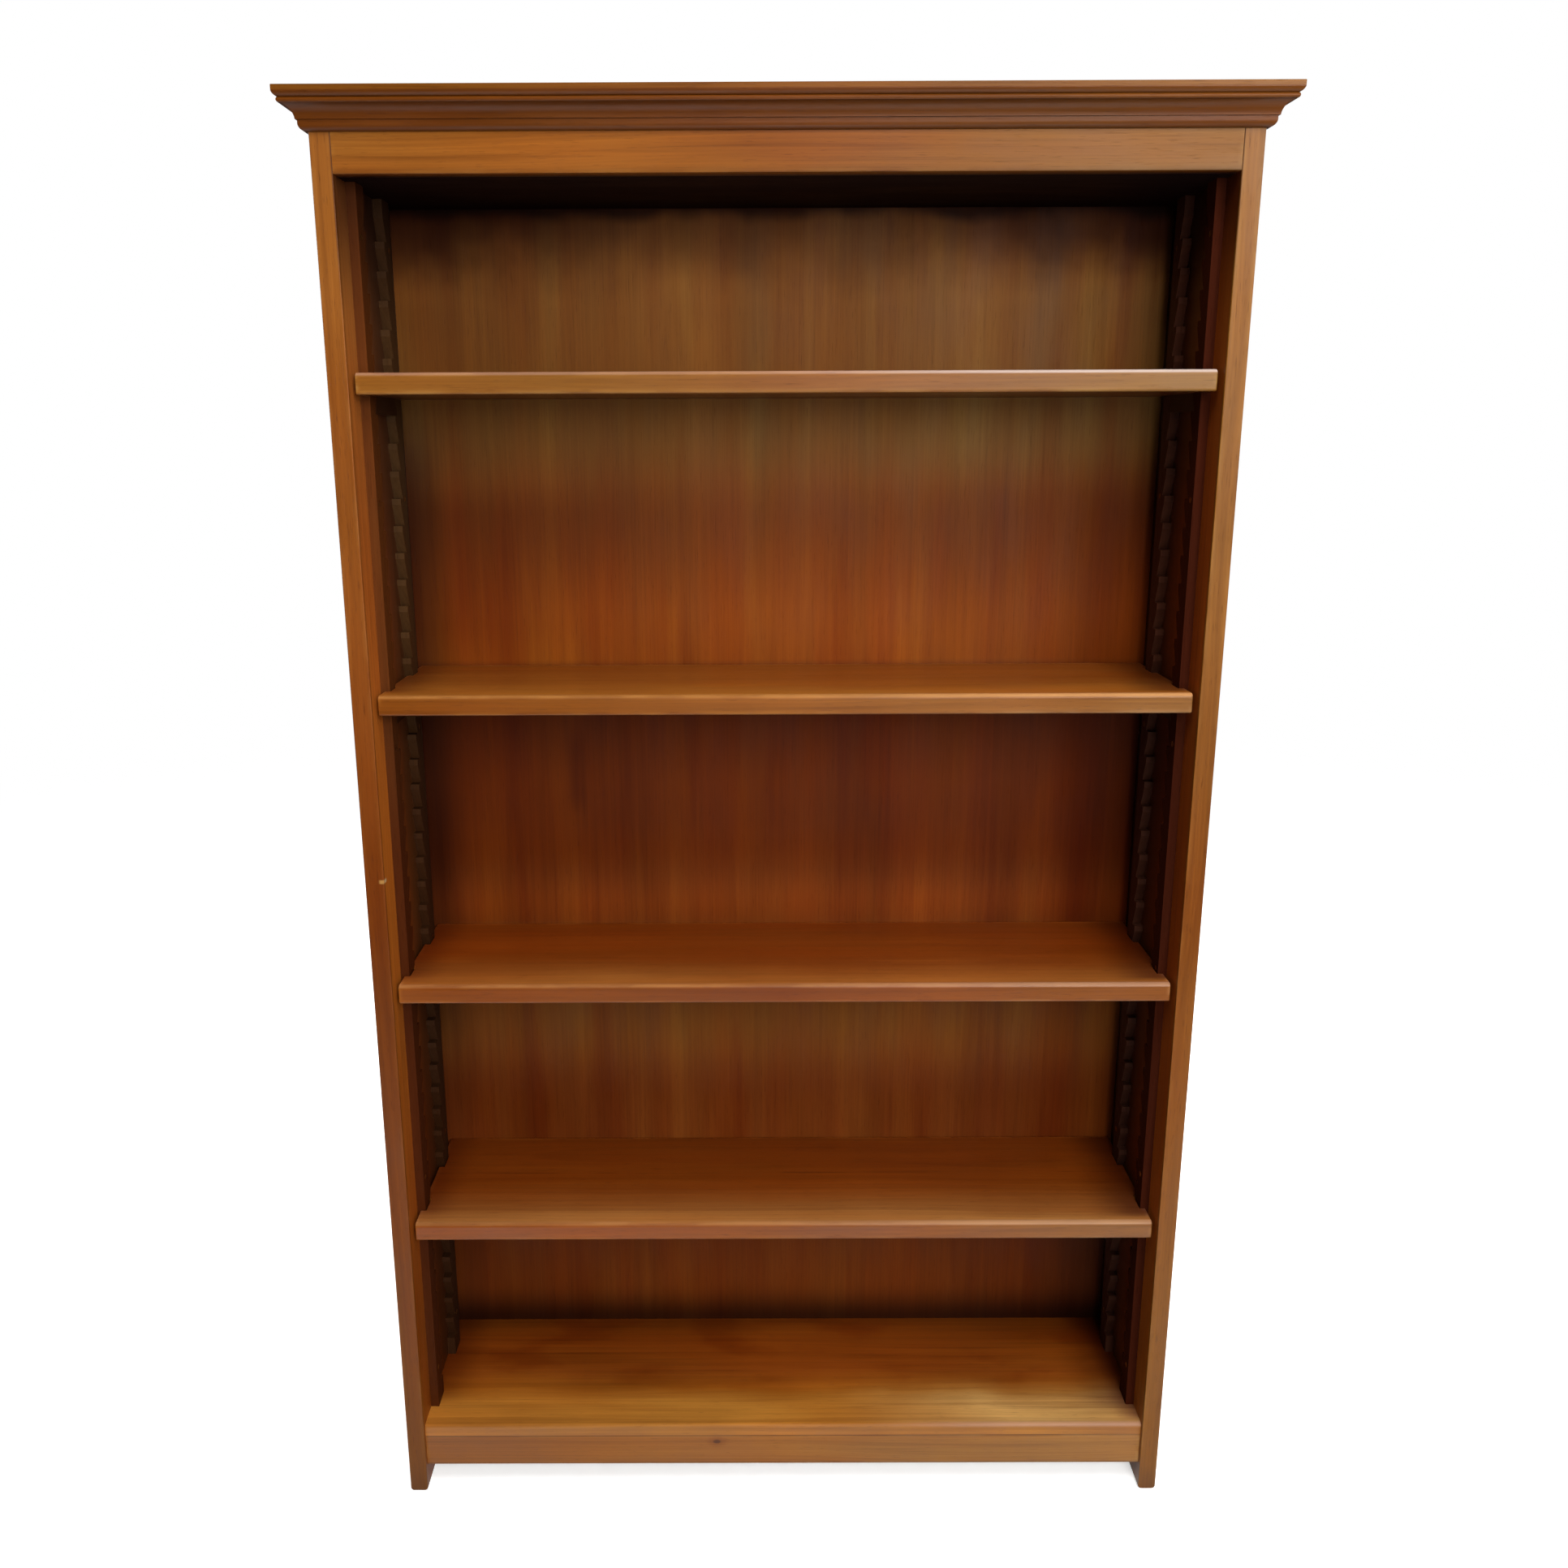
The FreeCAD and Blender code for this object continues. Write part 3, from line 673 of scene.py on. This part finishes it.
def white_world(strength):
    """White to the camera, and a soft even light at the given strength on the object."""
    world = bpy.data.worlds.new("studio")
    bpy.context.scene.world = world
    world.use_nodes = True
    tree = world.node_tree
    tree.nodes.clear()
    path = tree.nodes.new("ShaderNodeLightPath")
    seen = tree.nodes.new("ShaderNodeBackground")
    seen.inputs["Color"].default_value = (1.0, 1.0, 1.0, 1.0)
    lit = tree.nodes.new("ShaderNodeBackground")
    lit.inputs["Color"].default_value = (1.0, 0.985, 0.96, 1.0)
    lit.inputs["Strength"].default_value = strength
    either = tree.nodes.new("ShaderNodeMixShader")
    out = tree.nodes.new("ShaderNodeOutputWorld")
    tree.links.new(path.outputs["Is Camera Ray"], either.inputs[0])
    tree.links.new(lit.outputs[0], either.inputs[1])
    tree.links.new(seen.outputs[0], either.inputs[2])
    tree.links.new(either.outputs[0], out.inputs[0])


HEART = (0.0, 0.0, 1.1)      # the lamps aim here


def lamp(name, place, size, power, light=True, shine=True):
    """A flat lamp. It may give only light, with no mirror image in the polish, or only that shine."""
    data = bpy.data.lights.new(name, "AREA")
    data.shape = "RECTANGLE"
    data.size, data.size_y = size
    data.energy = power
    holder = bpy.data.objects.new(name, data)
    holder.location = place
    holder.rotation_euler = (Vector(HEART) - Vector(place)).to_track_quat("-Z", "Y").to_euler()
    holder.visible_diffuse = light
    holder.visible_glossy = shine
    bpy.context.scene.collection.objects.link(holder)


def camera():
    """Stands in front at eye height, a little left of the middle, and looks down at the bookcase."""
    shift_in_frame_widths = 0.0244
    focal_in_frame_widths = 0.8732
    data = bpy.data.cameras.new("camera")
    data.sensor_width = 36.0
    data.lens = focal_in_frame_widths * data.sensor_width
    data.shift_x = shift_in_frame_widths
    data.clip_end = 100.0
    holder = bpy.data.objects.new("camera", data)
    holder.location = (-0.0473, -1.8245, 1.5099)
    pitch, roll, yaw = 0.2484, 0.0040, 0.0009
    holder.rotation_euler = Euler((math.pi / 2 - pitch, roll, yaw), "XYZ")
    bpy.context.scene.collection.objects.link(holder)
    bpy.context.scene.camera = holder


pale_floor()
white_world(0.02)
square = (1.2, 1.2)
lamp("daylight", (0.7, -2.9, 2.2), square, 72.0, shine=False)
lamp("low_light", (0.3, -3.0, 0.9), square, 26.0, shine=False)
lamp("side_light", (2.2, -2.9, 2.2), square, 11.0, shine=False)
lamp("overhead", (0.1, -1.6, 3.2), square, 44.0, shine=False)
lamp("window_shine", (2.1, -2.9, 2.4), square, 31.0, light=False)
lamp("wall_shine", (0.8, -2.9, 1.75), (1.4, 0.7), 5.0, light=False)
lamp("left_fill", (-2.8, 0.9, 1.9), (1.5, 1.5), 50.0)
lamp("right_fill", (2.8, 0.9, 1.9), (1.5, 1.5), 50.0)
lamp("back_fill", (0.0, 3.2, 2.2), (2.0, 1.5), 60.0)
camera()
bpy.context.scene.view_settings.view_transform = "Standard"
